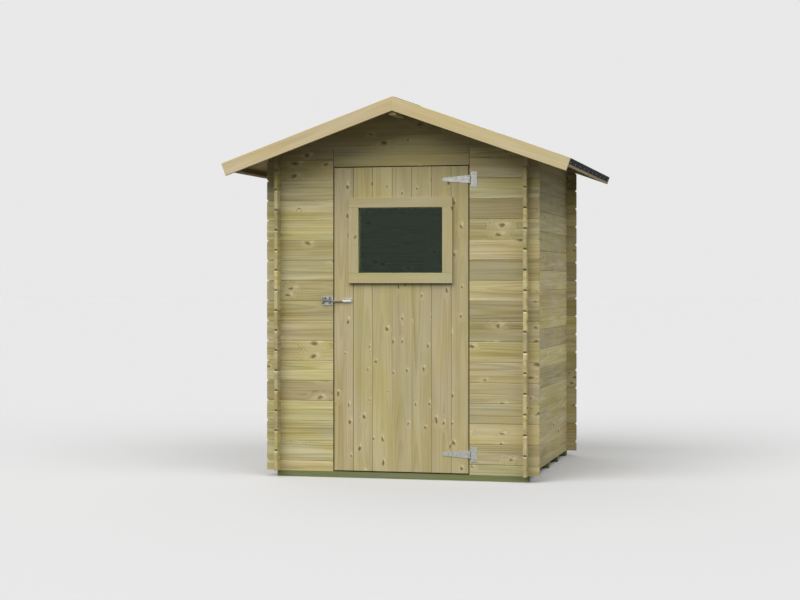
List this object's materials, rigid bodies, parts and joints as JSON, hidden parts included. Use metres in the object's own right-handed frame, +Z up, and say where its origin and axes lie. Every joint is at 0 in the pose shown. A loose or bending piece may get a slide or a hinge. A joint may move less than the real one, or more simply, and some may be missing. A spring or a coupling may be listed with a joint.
{
  "type": "wooden garden shed",
  "caption": "Small log-cabin style garden shed with notched plank-log walls, a hinged board door with a fixed window, a felted gable roof and a timber floor on bearers.",
  "frame": {"origin": "bottom centre of the whole shed's box: level ground under the bearers, in the middle of the roof seen from above", "axes": "+Z up, the door faces -Y, +X is to the right of someone who looks at the door"},
  "size_m": [1.978, 1.84, 2.1314],
  "materials": {
    "bearer_timber": "rough-sawn, green pressure-treated",
    "floor_timber": "planed, untreated",
    "log_timber": "planed, pressure-treated",
    "gable_timber": "planed, pressure-treated",
    "frame_timber": "planed, pressure-treated",
    "roof_timber": "planed, untreated",
    "roofing_felt": "mineral-grit bitumen felt",
    "barge_timber": "planed, pressure-treated",
    "door_timber": "planed, pressure-treated",
    "casing_timber": "planed, pressure-treated",
    "clear_pane": "clear sheet",
    "galvanised_steel": "pressed and zinc-plated"
  },
  "bodies": {
    "shed": {"bearer_front": "bearer_timber", "bearer_second": "bearer_timber", "bearer_middle": "bearer_timber", "bearer_fourth": "bearer_timber", "bearer_back": "bearer_timber", "floor_boards": "floor_timber", "front_logs_left": "log_timber", "front_logs_right": "log_timber", "left_logs": "log_timber", "right_logs": "log_timber", "back_logs": "log_timber", "front_gable": "gable_timber", "back_gable": "gable_timber", "door_post_left": "frame_timber", "door_post_right": "frame_timber", "door_head_rail": "frame_timber", "ridge_purlin": "frame_timber", "eaves_batten_left": "frame_timber", "eaves_batten_right": "frame_timber", "roof_deck_left": "roof_timber", "roof_deck_right": "roof_timber", "roof_felt_left": "roofing_felt", "roof_felt_right": "roofing_felt", "front_barge_left": "barge_timber", "front_barge_right": "barge_timber", "back_barge_left": "barge_timber", "back_barge_right": "barge_timber", "upper_hinge_plate": "galvanised_steel", "lower_hinge_plate": "galvanised_steel", "latch_catch": "galvanised_steel"},
    "door": {"door_boards": "door_timber", "door_ledge_top": "frame_timber", "door_ledge_middle": "frame_timber", "door_ledge_bottom": "frame_timber", "door_brace": "frame_timber", "window_casing": "casing_timber", "window_pane": "clear_pane", "window_beads": "frame_timber", "upper_hinge_strap": "galvanised_steel", "lower_hinge_strap": "galvanised_steel", "striker_plate": "galvanised_steel", "striker_rod": "galvanised_steel"},
    "pawl": {"latch_pawl": "galvanised_steel"}
  },
  "joints": [
    {"name": "door_hinge", "type": "hinge", "parent": "shed", "child": "door", "pos_m": [0.396, -0.7102, 0.9], "axis": [0, 0, 1], "range_deg": [0, 150]},
    {"name": "pawl_pivot", "type": "hinge", "parent": "shed", "child": "pawl", "pos_m": [-0.432, -0.731, 1.017], "axis": [1, 0, 0], "range_deg": [-80, 0]}
  ]
}
